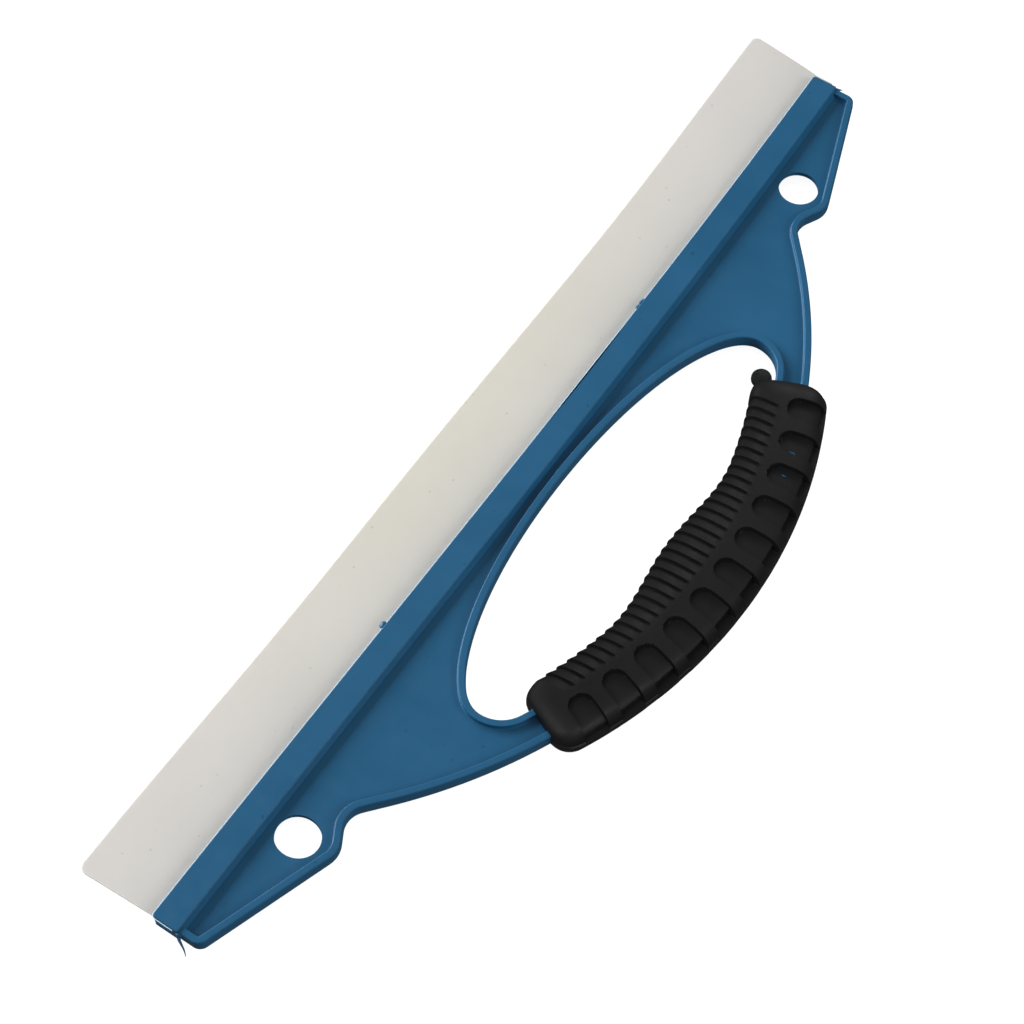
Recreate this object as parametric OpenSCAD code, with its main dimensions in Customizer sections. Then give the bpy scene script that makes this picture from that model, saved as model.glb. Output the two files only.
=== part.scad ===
// Hand squeegee: a straight bar holds a flexible silicone blade, and a flat ribbed
// frame behind it carries a bowed handle with an overmoulded rubber grip.
// The tool lies on its back: X runs along the blade, +Y points from the grip to the
// blade's edge, and +Z is the front face. The origin is the middle of the underside.

/* [Bar] */
// Length of the bar
bar_length = 305; // [250:1:360]
// Width of the bar's front face
bar_width = 7.6; // [6.5:0.1:8]
// Thickness of the bar, front face to back face
bar_thickness = 5.4; // [5:0.1:7]
// Height of the slot that holds the blade
slot_gap = 2; // [1.8:0.1:2.4]
// Depth of the slot behind its mouth
slot_depth = 5.6; // [4:0.1:5.8]

/* [Frame] */
// Thickness over the ribs
rib_height = 4.2; // [3.5:0.1:5]
// Width of each rib
rib_width = 1.6; // [1.2:0.1:1.8]
// Thickness of the flat web between the ribs
web_thickness = 1.4; // [1:0.1:2]
// Radius of the frame's long lower curve, which is also the handle's outer edge
handle_radius = 150; // [145:1:156]
// Depth of the handle between the finger opening and its outer edge
handle_depth = 9; // [8:0.5:10]
// Distance from the bar's mouth to the lowest point of the handle
handle_drop = 63.4; // [60:0.1:66]
// Diameter of each hanging hole
hang_hole_d = 10.6; // [8:0.1:11]

/* [Finger opening] */
// Half width of the finger opening
opening_half_width = 66.1; // [62:0.1:68]
// Height of the opening's curved top above its widest point
opening_rise = 20.2; // [18:0.1:20.5]
// Distance from the bar's mouth to the opening's widest point
opening_drop = 31.5; // [31:0.1:33]
/* [Blade] */
// Length of the blade
blade_length = 306; // [250:1:362]
// Width of the blade that shows in front of the bar
blade_reach = 22.3; // [15:0.1:30]
// Thickness of the blade at the bar
blade_thickness = 1.8; // [1.5:0.1:1.9]
// Thickness of the blade at its wiping edge
blade_edge = 1.2; // [0.8:0.1:1.6]

/* [Grip] */
// Thickness of the grip, front to back
grip_thickness = 14; // [12:0.1:18]
// Angle from the middle of the handle to each end of the grip
grip_half_angle = 24.2; // [20:0.1:25]
// How far the grip stands out past the handle's outer edge
grip_cover = 7.1; // [4:0.1:8]
// How far the palm swell rises into the opening
palm_swell = 5.3; // [0:0.1:6]

/* [Hidden] */

$fn = 64;
eps = 0.01;

// The parts are drawn with Y = 0 at the bar's mouth and Z = 0 at mid thickness.
grip_outer_y = -handle_drop - grip_cover;
place = [0, -(blade_reach + grip_outer_y) / 2, grip_thickness / 2];

half_length = bar_length / 2;
bar_inner_y = -bar_width;
bar_corner = 1;

// Frame outline: the end corner, the slanted edge, the knee, the notch and the long curve
end_corner = [half_length, -13.5];
knee = [half_length - 37.9, -25.6];
notch = [half_length - 47, -20.6];
curve_start = half_length - 54;
end_corner_r = 2.4;
knee_r = 7;
notch_r = 6;
handle_centre_y = handle_radius - handle_drop;
handle_inner_r = handle_radius - handle_depth;

hang_hole = [half_length - 35.7, -15.3];

// The hinge line stands just outside the mouth, so the lip's round heel clears the bar.
hinge_y = 1.2;
blade_corner = 2;
root_thickness = slot_gap - 0.1;
root_gap = 0.2;

// Grip section: its size at the handle's middle, the taper towards the ends, and the
// radii that round off the end faces
grip_inner_r = handle_radius - 13.4;
grip_outer_r = handle_radius + grip_cover;
grip_end_taper = 1.8;
grip_end_thinning = 1.4;
swell_half_angle = 12;
end_round_outer = 5;
end_round_inner = 2;
end_round_face = 2.4;
section_points = 28;
section_power = 2.6;

// Small round moulding tab at the grip's inner corner on the +X side
tab_r = 2.8;
tab_centre = [58.1, -38.4];
tab_foot = [54.6, -43.5];
tab_neck_r = 1.5;

// ---- outline helpers ----

function unit(v) = v / norm(v);

function arc(centre, r, from, to, steps) =
    [for (i = [0:steps])
        let (a = from + (to - from) * i / steps)
        centre + r * [cos(a), sin(a)]];

// Points of the arc that rounds corner q, on the way from p to s
function rounded_corner(p, q, s, r, steps = 8) =
    let (
        u = unit(p - q),
        v = unit(s - q),
        half = acos(u * v) / 2,
        centre = q + unit(u + v) * r / sin(half),
        from = q + u * r / tan(half) - centre,
        to = q + v * r / tan(half) - centre,
        a = atan2(from[1], from[0]),
        turn = atan2(from[0] * to[1] - from[1] * to[0], from * to)
    )
    arc(centre, r, a, a + turn, steps);

function mirrored(points) =
    [for (i = [len(points) - 1:-1:0]) if (points[i][0] > eps) [-points[i][0], points[i][1]]];

// Closed path moved sideways by d, to the left of its direction of travel
function moved(path, d) =
    [for (i = [0:len(path) - 1])
        let (
            before = path[(i + len(path) - 1) % len(path)],
            after = path[(i + 1) % len(path)],
            along = unit(after - before)
        )
        path[i] + d * [-along[1], along[0]]];

// ---- frame outlines ----

function curve_y(x, r) = handle_centre_y - sqrt(r * r - x * x);

// Right half of the frame below the bar, from its top corner round to the handle's middle
function frame_half() =
    let (
        top = [half_length, -1.5],
        foot = [curve_start, curve_y(curve_start, handle_radius)],
        angle = asin(curve_start / handle_radius)
    )
    concat(
        [top],
        rounded_corner(top, end_corner, knee, end_corner_r),
        rounded_corner(end_corner, knee, notch, knee_r),
        rounded_corner(knee, notch, foot, notch_r),
        arc([0, handle_centre_y], handle_radius, angle - 90, -90, 40)
    );

function frame_outline() = concat(frame_half(), mirrored(frame_half()));

// Radius of the opening's lower corners: the arc that leaves the ellipse's end upright
// and meets the handle's inner edge without a kink
opening_depth = handle_centre_y + opening_drop;
opening_corner = (pow(handle_inner_r, 2) - pow(opening_half_width, 2) - pow(opening_depth, 2))
    / (2 * (handle_inner_r - opening_half_width));

// Finger opening: half an ellipse on top, two corner arcs, and the handle's inner edge
function opening_half() =
    let (
        corner_x = opening_half_width - opening_corner,
        turn = asin(corner_x / (handle_inner_r - opening_corner))
    )
    concat(
        [for (i = [0:23])
            let (a = 90 - 90 * i / 24)
            [opening_half_width * cos(a), -opening_drop + opening_rise * sin(a)]],
        arc([corner_x, -opening_drop], opening_corner, 0, turn - 90, 10),
        arc([0, handle_centre_y], handle_inner_r, turn - 91, -90, 24)
    );

function opening_outline() = concat(opening_half(), mirrored(opening_half()));

module hang_holes(length) {
    for (side = [-1, 1])
        translate([side * hang_hole[0], hang_hole[1], 0])
            cylinder(d = hang_hole_d, h = length, center = true);
}

// ---- frame ----

// Plan of the bar, with its two mouth corners rounded
module bar_plan() {
    inset = half_length - bar_corner;
    polygon(concat(
        [[half_length, bar_inner_y]],
        arc([inset, -bar_corner], bar_corner, 0, 90, 6),
        arc([-inset, -bar_corner], bar_corner, 90, 180, 6),
        [[-half_length, bar_inner_y]]
    ));
}

module blade_slot() {
    translate([0, -slot_depth / 2 + eps, 0])
        cube([bar_length + 2, slot_depth + 2 * eps, slot_gap], center = true);
}

// Web recess on the front, between the ribs and the bar
module web_recess() {
    translate([0, 0, web_thickness / 2])
        linear_extrude(rib_height)
            difference() {
                polygon(moved(frame_outline(), -rib_width));
                polygon(moved(opening_outline(), rib_width));
                translate([-bar_length, bar_inner_y])
                    square([2 * bar_length, bar_length]);
            }
}

module frame_shape() {
    difference() {
        union() {
            translate([0, 0, -rib_height / 2])
                linear_extrude(rib_height) polygon(frame_outline());
            translate([0, 0, -bar_thickness / 2])
                linear_extrude(bar_thickness) bar_plan();
        }
        translate([0, 0, -rib_height])
            linear_extrude(2 * rib_height) polygon(opening_outline());
        web_recess();
        mirror([0, 0, 1]) web_recess();
        blade_slot();
        hang_holes(2 * web_thickness);
    }
}

module frame() {
    color([0.17, 0.38, 0.52]) translate(place) frame_shape();
}

// ---- blade ----

module blade_root() {
    depth = slot_depth - root_gap;
    color([0.83, 0.82, 0.79])
        translate(place + [0, -depth / 2, 0])
            cube([blade_length, depth, root_thickness], center = true);
}

// Section of the lip: a round heel on the hinge line, tapering to a rounded edge
module lip_section() {
    heel = blade_thickness / 2;
    edge = blade_edge / 2;
    tip = blade_reach - edge;
    translate([hinge_y, 0]) circle(r = heel);
    translate([tip, 0]) circle(r = edge);
    polygon([[hinge_y, -heel], [tip, -edge], [tip, edge], [hinge_y, heel]]);
}

module lip_plan() {
    side = blade_length / 2;
    inset = side - blade_corner;
    top = blade_reach - blade_corner;
    polygon(concat(
        [[side, 0]],
        arc([inset, top], blade_corner, 0, 90, 8),
        arc([-inset, top], blade_corner, 90, 180, 8),
        [[-side, 0]]
    ));
}

module blade_lip() {
    color([0.83, 0.82, 0.79])
        translate(place)
            intersection() {
                translate([-blade_length / 2, 0, 0])
                    rotate([90, 0, 90])
                        linear_extrude(blade_length) lip_section();
                translate([0, 0, -blade_thickness])
                    linear_extrude(2 * blade_thickness) lip_plan();
            }
}

// ---- grip ----

// How much a rounded end takes off, at a distance d from the end face
function end_round(d, r) = d >= r ? 0 : r - sqrt(r * r - (r - d) * (r - d));

function swell(a) = abs(a) >= swell_half_angle ? 0
    : palm_swell * (1 + cos(180 * a / swell_half_angle)) / 2;

// One section of the grip, on the plane through the handle's centre at angle a
function grip_section(a) =
    let (
        share = pow(a / grip_half_angle, 2),
        d = (grip_half_angle - abs(a)) * PI / 180 * handle_radius,
        outer = grip_outer_r - grip_end_taper * share - end_round(d, end_round_outer),
        inner = grip_inner_r - swell(a) + end_round(d, end_round_inner),
        half = grip_thickness / 2 - grip_end_thinning * share - end_round(d, end_round_face),
        middle = (outer + inner) / 2,
        reach = (outer - inner) / 2
    )
    [for (i = [0:section_points - 1])
        let (
            t = 360 * i / section_points,
            c = cos(t),
            s = sin(t),
            r = middle + reach * sign(c) * pow(abs(c), 2 / section_power),
            z = half * sign(s) * pow(abs(s), 2 / section_power)
        )
        [r * sin(a), handle_centre_y - r * cos(a), z]];

// Section angles: close together at the rounded ends, every 2 degrees between them
function grip_angles() =
    let (
        ends = [0, 0.15, 0.5, 1.1, 2],
        inner = grip_half_angle - ends[len(ends) - 1],
        steps = 22
    )
    concat(
        [for (e = ends) -grip_half_angle + e],
        [for (i = [1:steps - 1]) -inner + 2 * inner * i / steps],
        [for (i = [len(ends) - 1:-1:0]) grip_half_angle - ends[i]]
    );

module grip_body() {
    angles = grip_angles();
    n = section_points;
    rows = len(angles);
    points = [for (a = angles) each grip_section(a)];
    sides = [for (k = [0:rows - 2]) for (i = [0:n - 1])
        let (j = (i + 1) % n)
        [k * n + i, k * n + j, (k + 1) * n + j, (k + 1) * n + i]];
    start = [for (i = [n - 1:-1:0]) i];
    finish = [for (i = [0:n - 1]) (rows - 1) * n + i];
    polyhedron(points, concat([start, finish], sides), convexity = 4);
}

module grip_tab() {
    along = tab_foot - tab_centre;
    translate([tab_centre[0], tab_centre[1], 0]) {
        sphere(r = tab_r);
        rotate([0, 90, atan2(along[1], along[0])])
            cylinder(r = tab_neck_r, h = norm(along));
    }
}

// Stretch of the frame's handle that the grip is moulded round
module handle_core() {
    intersection() {
        frame_shape();
        translate([0, handle_centre_y, 0])
            cylinder(r = handle_radius + 1, h = 2 * rib_height, center = true);
        translate([0, -handle_drop, 0])
            cube([2 * opening_half_width, 2 * opening_drop, 2 * rib_height], center = true);
    }
}

module grip() {
    color([0.1, 0.1, 0.1])
        translate(place)
            difference() {
                union() {
                    grip_body();
                    grip_tab();
                }
                handle_core();
            }
}

frame();
blade_root();
blade_lip();
grip();
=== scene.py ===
import math

import bmesh
import bpy
import numpy as np
from mathutils import Matrix, Vector, noise
from mathutils.geometry import tessellate_polygon


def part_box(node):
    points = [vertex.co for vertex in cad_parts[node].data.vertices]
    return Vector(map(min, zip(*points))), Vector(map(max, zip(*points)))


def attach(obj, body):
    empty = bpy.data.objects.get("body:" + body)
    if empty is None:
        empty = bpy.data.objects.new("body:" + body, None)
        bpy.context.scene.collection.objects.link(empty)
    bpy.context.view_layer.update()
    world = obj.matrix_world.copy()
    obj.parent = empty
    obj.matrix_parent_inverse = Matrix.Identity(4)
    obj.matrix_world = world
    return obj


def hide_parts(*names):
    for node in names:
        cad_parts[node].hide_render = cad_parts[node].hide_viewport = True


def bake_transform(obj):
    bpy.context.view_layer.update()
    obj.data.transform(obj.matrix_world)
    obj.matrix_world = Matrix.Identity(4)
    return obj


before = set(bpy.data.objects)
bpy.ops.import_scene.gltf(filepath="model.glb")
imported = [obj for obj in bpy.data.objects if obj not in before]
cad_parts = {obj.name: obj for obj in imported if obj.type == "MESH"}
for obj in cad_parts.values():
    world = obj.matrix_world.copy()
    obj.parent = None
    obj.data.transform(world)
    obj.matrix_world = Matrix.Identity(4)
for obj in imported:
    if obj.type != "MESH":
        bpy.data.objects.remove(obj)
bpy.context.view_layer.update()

# ---------------------------------------------------------------------------
# Datum. Lengths below are millimetres in the work frame: X along the bar, Y = 0 at the
# bar's mouth with the blade on +Y, Z = 0 at mid thickness with the front face on +Z.
# ---------------------------------------------------------------------------

MM = 0.001
frame_low, frame_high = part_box("frame")
MOUTH_Y = frame_high.y
MID_Z = (frame_low.z + frame_high.z) / 2
HALF_LENGTH = frame_high.x / MM
BAR_HALF_THICKNESS = (frame_high.z - frame_low.z) / 2 / MM
BLADE_REACH = (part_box("blade_lip")[1].y - MOUTH_Y) / MM
GRIP_HALF_THICKNESS = (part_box("grip")[1].z - MID_Z) / MM

# Bar. Its foot starts a little proud of the rounded inner edge and sinks into the web
BAR_WIDTH = 7.45
BAR_EDGE_ROUND = 0.3
BAR_MOUTH_CORNER = 1.0
BAR_INNER_CORNER = 0.4
BAR_FOOT_WIDTH = 0.75
BAR_FOOT_PROUD = 0.03
BAR_FOOT_SINK = 0.1
BAR_FOOT_OVERLAP = 1.0
BAR_FOOT_END_GAP = 1.0
SLOT_DEPTH = 5.6
SLOT_HALF_GAP = 0.95
SLOT_RISE = 0.2
SLOT_FLARE = 0.2
SLIT_SPAN = (12.0, 50.0)
SLIT_HALF_WIDTH = 0.17
SLIT_END_HALF_WIDTH = 0.02
SLIT_FLOOR_Z = 1.5
CUT_BEYOND_FACE = 0.5
CUT_BEYOND_END = 5.0

# Ribbed plate behind the bar
RIB_HALF_HEIGHT = 2.1
RIB_WIDTH = 2.0
RIB_DRAFT = 0.1
RIB_EDGE_ROUND = 0.35
RIB_INNER_ROUND = 0.15
RIB_FILLET = 0.3
WEB_HALF_THICKNESS = 0.7
PLATE_HALF_LENGTH = HALF_LENGTH - 0.2
PLATE_TOP_Y = -5.2
PLATE_TOP_CORNER = 2.6
END_CORNER = (PLATE_HALF_LENGTH, -13.5)
END_CORNER_R = 2.8
KNEE = (HALF_LENGTH - 37.9, -25.6)
KNEE_R = 7.0
NOTCH = (HALF_LENGTH - 47.0, -20.6)
NOTCH_R = 6.0
CURVE_START = HALF_LENGTH - 54.0
HANDLE_R = 150.0
HANDLE_DEPTH = 9.0
HANDLE_DROP = 63.4
HANDLE_CENTRE_Y = HANDLE_R - HANDLE_DROP
HANG_HOLE = (HALF_LENGTH - 35.7, -15.3)
HANG_HOLE_R = 5.3
HANG_HOLE_ROUND = 0.15

# Finger opening
OPENING_HALF_WIDTH = 66.1
OPENING_RISE = 20.2
OPENING_DROP = 32.2

# Moulding flash. A lump is its centre, its size along each axis and its noise seed: one
# gate stub, a second stub made of two, and a lump by the hair at the left end
GATE_Z = 1.9
LUMPS = (
    ((-59.7, 0.35, GATE_Z), (1.1, 0.85, 0.7), 1.0),
    ((57.2, 0.1, GATE_Z), (1.0, 0.65, 0.6), 5.0),
    ((59.1, 0.15, GATE_Z + 0.1), (1.3, 0.6, 0.65), 9.0),
    ((-HALF_LENGTH + 0.2, -7.9, 0.9), (0.7, 0.9, 1.0), 17.0),
)
LUMP_ROUGHNESS = 0.35
LUMP_NOISE_SCALE = 1.6
LUMP_SUBDIVISIONS = 3
FIN_ROUTE = (
    (HALF_LENGTH - 0.62, -6.2, 1.9),
    (HALF_LENGTH - 0.5, -7.6, 1.9),
    (HALF_LENGTH + 0.5, -9.2, 1.8),
)
FIN_RADII = (0.6, 0.55, 0.06)
FIN_SIDES = 12
HAIR_CURVE = (
    (-HALF_LENGTH + 0.3, -7.6, 0.8),
    (-153.6, -8.2, 0.4),
    (-153.6, -10.4, 0.0),
    (-155.3, -11.8, -0.4),
)
HAIR_R = 0.5
HAIR_THINNING = 0.033
HAIR_STEPS = 12

# Steps of curves and of long straight edges
LONG_EDGE_STEPS = 24
HANDLE_STEPS = 60
OPENING_TOP_STEPS = 48
OPENING_CORNER_STEPS = 20
OPENING_BOTTOM_STEPS = 40
HOLE_STEPS = 64
SLIT_STEPS = 16

# Creases above these angles in degrees stay sharp
FRAME_CREASE = 40
BLADE_CREASE = 50
RUBBER_CREASE = 45

# The moulding has bowed in its own plane: its Y offset is a cubic in X / HALF_LENGTH,
# highest power first, that changes from the bar's to the handle's across the plate
BAR_BOW = (0.9, 1.35, -1.0, -0.55)
HANDLE_BOW = (0.4, 1.75, -0.2, -1.5)
BOW_CHANGE = (8.0, 25.0)


def smoothstep(low, high, value):
    """0 below low and 1 above high, with a smooth curve between them."""
    t = np.clip((value - low) / (high - low), 0, 1)
    return t * t * (3 - 2 * t)


def to_row(points):
    """Work-frame millimetres to metres in the row frame, with the moulding's slight bow."""
    points = np.array(points, float)
    along = points[..., 0] / HALF_LENGTH
    share = smoothstep(*BOW_CHANGE, -points[..., 1])
    bow = (1 - share) * np.polyval(BAR_BOW, along) + share * np.polyval(HANDLE_BOW, along)
    points[..., 1] += bow
    return points * MM + np.array([0.0, MOUTH_Y, MID_Z])


# ---------------------------------------------------------------------------
# Mesh helpers
# ---------------------------------------------------------------------------


def new_object(name, points, faces):
    """A mesh object from work-frame points, with its normals facing out."""
    mesh = bpy.data.meshes.new(name)
    mesh.from_pydata([tuple(p) for p in to_row(points)], [], faces)
    work = bmesh.new()
    work.from_mesh(mesh)
    bmesh.ops.recalc_face_normals(work, faces=work.faces)
    work.to_mesh(mesh)
    work.free()
    piece = bpy.data.objects.new(name, mesh)
    bpy.context.scene.collection.objects.link(piece)
    return piece


def apply_modifiers(piece):
    """Replaces the piece's mesh with the result of its modifiers."""
    graph = bpy.context.evaluated_depsgraph_get()
    result = bpy.data.meshes.new_from_object(piece.evaluated_get(graph))
    piece.modifiers.clear()
    piece.data = result


def combine(piece, other, operation):
    """Exact boolean of piece with other; the other object is used up."""
    step = piece.modifiers.new("combine", "BOOLEAN")
    step.operation = operation
    step.solver = "EXACT"
    step.object = other
    apply_modifiers(piece)
    bpy.data.objects.remove(other)


def smooth_shading(piece, angle):
    """Smooth shading with creases above the angle, and flat faces kept flat."""
    for polygon in piece.data.polygons:
        polygon.use_smooth = True
    piece.data.set_sharp_from_angle(angle=math.radians(angle))
    step = piece.modifiers.new("flat_faces", "WEIGHTED_NORMAL")
    step.keep_sharp = True
    apply_modifiers(piece)


def ring_faces(first, second, count):
    """Quads between two closed rings of count points that start at these indices."""
    return [
        (first + i, first + (i + 1) % count, second + (i + 1) % count, second + i)
        for i in range(count)
    ]


# ---------------------------------------------------------------------------
# Plan paths: lists of (x, y, heading), so that a path can be moved sideways exactly
# ---------------------------------------------------------------------------


def arc_path(centre, radius, start, stop, steps):
    """Arc between two angles in radians; it runs clockwise when stop is below start."""
    quarter_turn = math.copysign(math.pi / 2, stop - start)
    angles = [start + (stop - start) * i / steps for i in range(steps + 1)]
    return [
        (centre[0] + radius * math.cos(a), centre[1] + radius * math.sin(a), a + quarter_turn)
        for a in angles
    ]


def straight_path(start, stop, steps):
    """Points inside a straight stretch, so that it can follow the bow."""
    heading = math.atan2(stop[1] - start[1], stop[0] - start[0])
    points = [Vector(start).lerp(Vector(stop), i / steps) for i in range(1, steps)]
    return [(point.x, point.y, heading) for point in points]


def corner_path(before, corner, after, radius, steps=10):
    """The arc that rounds a corner on the way from one point to another."""
    p, q, s = Vector(before), Vector(corner), Vector(after)
    u = (p - q).normalized()
    v = (s - q).normalized()
    half = math.acos(u.dot(v)) / 2
    centre = q + (u + v).normalized() * radius / math.sin(half)
    start = q + u * radius / math.tan(half) - centre
    stop = q + v * radius / math.tan(half) - centre
    angle = math.atan2(start.y, start.x)
    turn = math.atan2(start.x * stop.y - start.y * stop.x, start.dot(stop))
    return arc_path(centre, radius, angle, angle + turn, steps)


def with_mirror(half, on_axis=0.01):
    """Closes a right half that runs clockwise with its mirror image."""
    left = [(-x, y, -heading) for x, y, heading in reversed(half) if x > on_axis]
    return half + left


def moved(path, distance):
    """Path points moved sideways, to the left of the direction of travel."""
    return [
        (x - distance * math.sin(h), y + distance * math.cos(h)) for x, y, h in path
    ]


def plate_path():
    """Outline of the ribbed plate, from the bar round its notched wings to the handle."""
    top = (PLATE_HALF_LENGTH, PLATE_TOP_Y)
    drop = math.sqrt(HANDLE_R**2 - CURVE_START**2)
    foot = (CURVE_START, HANDLE_CENTRE_Y - drop)
    angle = math.asin(CURVE_START / HANDLE_R)
    down = -math.pi / 2
    half = corner_path((0, PLATE_TOP_Y), top, END_CORNER, PLATE_TOP_CORNER)
    half += corner_path(top, END_CORNER, KNEE, END_CORNER_R)
    half += corner_path(END_CORNER, KNEE, NOTCH, KNEE_R)
    half += corner_path(KNEE, NOTCH, foot, NOTCH_R)
    half += arc_path((0, HANDLE_CENTRE_Y), HANDLE_R, angle + down, down, HANDLE_STEPS)
    return with_mirror(half)


def opening_path():
    """The finger opening: half an ellipse on top, the handle's arc below, round corners."""
    inner_r = HANDLE_R - HANDLE_DEPTH
    depth = HANDLE_CENTRE_Y + OPENING_DROP
    width = OPENING_HALF_WIDTH
    corner_r = (inner_r**2 - width**2 - depth**2) / (2 * (inner_r - width))
    corner_x = width - corner_r
    turn = math.asin(corner_x / (inner_r - corner_r))
    down = -math.pi / 2
    half = []
    for i in range(OPENING_TOP_STEPS):
        a = math.pi / 2 * (1 - i / OPENING_TOP_STEPS)
        point = (width * math.cos(a), OPENING_RISE * math.sin(a) - OPENING_DROP)
        heading = math.atan2(-OPENING_RISE * math.cos(a), width * math.sin(a))
        half.append((*point, heading))
    corner = (corner_x, -OPENING_DROP)
    half += arc_path(corner, corner_r, 0, turn + down, OPENING_CORNER_STEPS)
    bottom = arc_path((0, HANDLE_CENTRE_Y), inner_r, turn + down, down, OPENING_BOTTOM_STEPS)
    half += bottom[1:]
    return with_mirror(half)


def bar_path():
    """Outline of the bar seen from the front."""
    mouth = (HALF_LENGTH, 0)
    inner = (HALF_LENGTH, -BAR_WIDTH)
    half = straight_path((0, 0), mouth, LONG_EDGE_STEPS)
    half += corner_path((0, 0), mouth, inner, BAR_MOUTH_CORNER)
    half += corner_path(mouth, inner, (0, -BAR_WIDTH), BAR_INNER_CORNER, steps=5)
    half += straight_path(inner, (0, -BAR_WIDTH), LONG_EDGE_STEPS)
    return with_mirror(half)


# ---------------------------------------------------------------------------
# Frame: bar, ribbed plate, moulding flash
# ---------------------------------------------------------------------------


def quarter(centre, radius, start, steps=4):
    """Quarter turn of a section, clockwise from an angle in degrees."""
    angles = [math.radians(start - 90 * i / steps) for i in range(steps + 1)]
    return [(centre[0] + radius * math.cos(a), centre[1] + radius * math.sin(a)) for a in angles]


def fillet_points(steps=4):
    """The curve from a rib's inner wall down on to the web, as (inset, z)."""
    centre = (RIB_WIDTH + RIB_FILLET, WEB_HALF_THICKNESS + RIB_FILLET)
    angles = [math.radians(180 + 90 * i / steps) for i in range(steps + 1)]
    return [
        (centre[0] + RIB_FILLET * math.cos(a), centre[1] + RIB_FILLET * math.sin(a))
        for a in angles
    ]


def swept(points, faces, path, section, side):
    """Sweeps an (inset, z) section along a closed path; returns its last ring's index."""
    count = len(path)
    previous = None
    for inset, z in section:
        start = len(points)
        points += [(x, y, z) for x, y in moved(path, side * inset)]
        if previous is not None:
            faces += ring_faces(previous, start, count)
        previous = start
    return previous


def hole_path(side):
    """Edge of one hanging hole, without a repeated last point."""
    centre = (side * HANG_HOLE[0], HANG_HOLE[1])
    return arc_path(centre, HANG_HOLE_R, 0, 2 * math.pi, HOLE_STEPS)[:-1]


def make_plate():
    """The flat web with its ribs and hanging holes, symmetrical front to back."""
    points, faces, rims = [], [], []
    walls = [(plate_path(), -1), (opening_path(), 1)]
    rise = RIB_HALF_HEIGHT - RIB_EDGE_ROUND
    near = RIB_DRAFT + RIB_EDGE_ROUND
    far = RIB_WIDTH - RIB_DRAFT - RIB_INNER_ROUND
    front = quarter((near, rise), RIB_EDGE_ROUND, 180)
    front += quarter((far, RIB_HALF_HEIGHT - RIB_INNER_ROUND), RIB_INNER_ROUND, 90)
    front += fillet_points()
    section = [(i, -z) for i, z in reversed(front)] + [(0, 0)] + front
    for path, side in walls:
        first = len(points)
        last = swept(points, faces, path, section, side)
        rims.append((first, last, len(path)))
    rim_centre = (-HANG_HOLE_ROUND, WEB_HALF_THICKNESS - HANG_HOLE_ROUND)
    rim = quarter(rim_centre, HANG_HOLE_ROUND, 90, steps=3)
    rim = [(-inset - 2 * HANG_HOLE_ROUND, z) for inset, z in rim]
    hole_section = [(i, -z) for i, z in rim] + [(i, z) for i, z in reversed(rim)]
    for side in (-1, 1):
        first = len(points)
        last = swept(points, faces, hole_path(side), hole_section, 1)
        rims.append((first, last, HOLE_STEPS))
    for end in (0, 1):
        loops = [list(range(rim[end], rim[end] + rim[2])) for rim in rims]
        flat = [i for loop in loops for i in loop]
        outlines = [[Vector((*points[i][:2], 0)) for i in loop] for loop in loops]
        faces += [tuple(flat[i] for i in triangle) for triangle in tessellate_polygon(outlines)]
    return new_object("plate", points, faces)


def make_bar():
    """The bar with rounded edges, before its slot is cut."""
    rise = BAR_HALF_THICKNESS - BAR_EDGE_ROUND
    front = quarter((BAR_EDGE_ROUND, rise), BAR_EDGE_ROUND, 180)
    section = [(i, -z) for i, z in reversed(front)] + front
    points, faces = [], []
    path = bar_path()
    last = swept(points, faces, path, section, -1)
    faces.append(tuple(range(len(path))))
    faces.append(tuple(range(last, last + len(path))))
    return new_object("bar", points, faces)


def make_prism(name, section, half_length):
    """A prism along X with a (y, z) section, in enough steps to follow the bow."""
    count = len(section)
    steps = 2 * LONG_EDGE_STEPS
    stations = np.linspace(-half_length, half_length, steps + 1)
    points = [(x, y, z) for x in stations for y, z in section]
    faces = []
    for k in range(steps):
        faces += ring_faces(k * count, (k + 1) * count, count)
    faces += [tuple(range(count)), tuple(range(steps * count, (steps + 1) * count))]
    return new_object(name, points, faces)


def make_bar_foot():
    """The sloped foot where the bar's inner side meets the web, front and back."""
    shoulder = BAR_HALF_THICKNESS - BAR_EDGE_ROUND
    foot = WEB_HALF_THICKNESS - BAR_FOOT_SINK
    lean = math.atan2(BAR_FOOT_WIDTH, shoulder - foot)
    inner = -BAR_WIDTH + BAR_EDGE_ROUND * (1 - math.cos(lean)) - BAR_FOOT_PROUD
    top = shoulder + BAR_EDGE_ROUND * math.sin(lean)
    reach = inner - (top - foot) * math.tan(lean)
    front = [(inner + BAR_FOOT_OVERLAP, top), (inner, top), (reach, foot)]
    section = front + [(y, -z) for y, z in reversed(front)]
    return make_prism("bar_foot", section, HALF_LENGTH - BAR_FOOT_END_GAP)


def make_slot_cutter():
    """The slot that holds the blade, a little flared at the mouth."""
    top = SLOT_RISE + SLOT_HALF_GAP
    bottom = SLOT_RISE - SLOT_HALF_GAP
    section = [
        (-SLOT_DEPTH, bottom),
        (-SLOT_DEPTH, top),
        (-SLOT_FLARE, top),
        (SLOT_FLARE, top + 2 * SLOT_FLARE),
        (SLOT_FLARE, bottom - 2 * SLOT_FLARE),
        (-SLOT_FLARE, bottom),
    ]
    return make_prism("slot", section, HALF_LENGTH + CUT_BEYOND_END)


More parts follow.
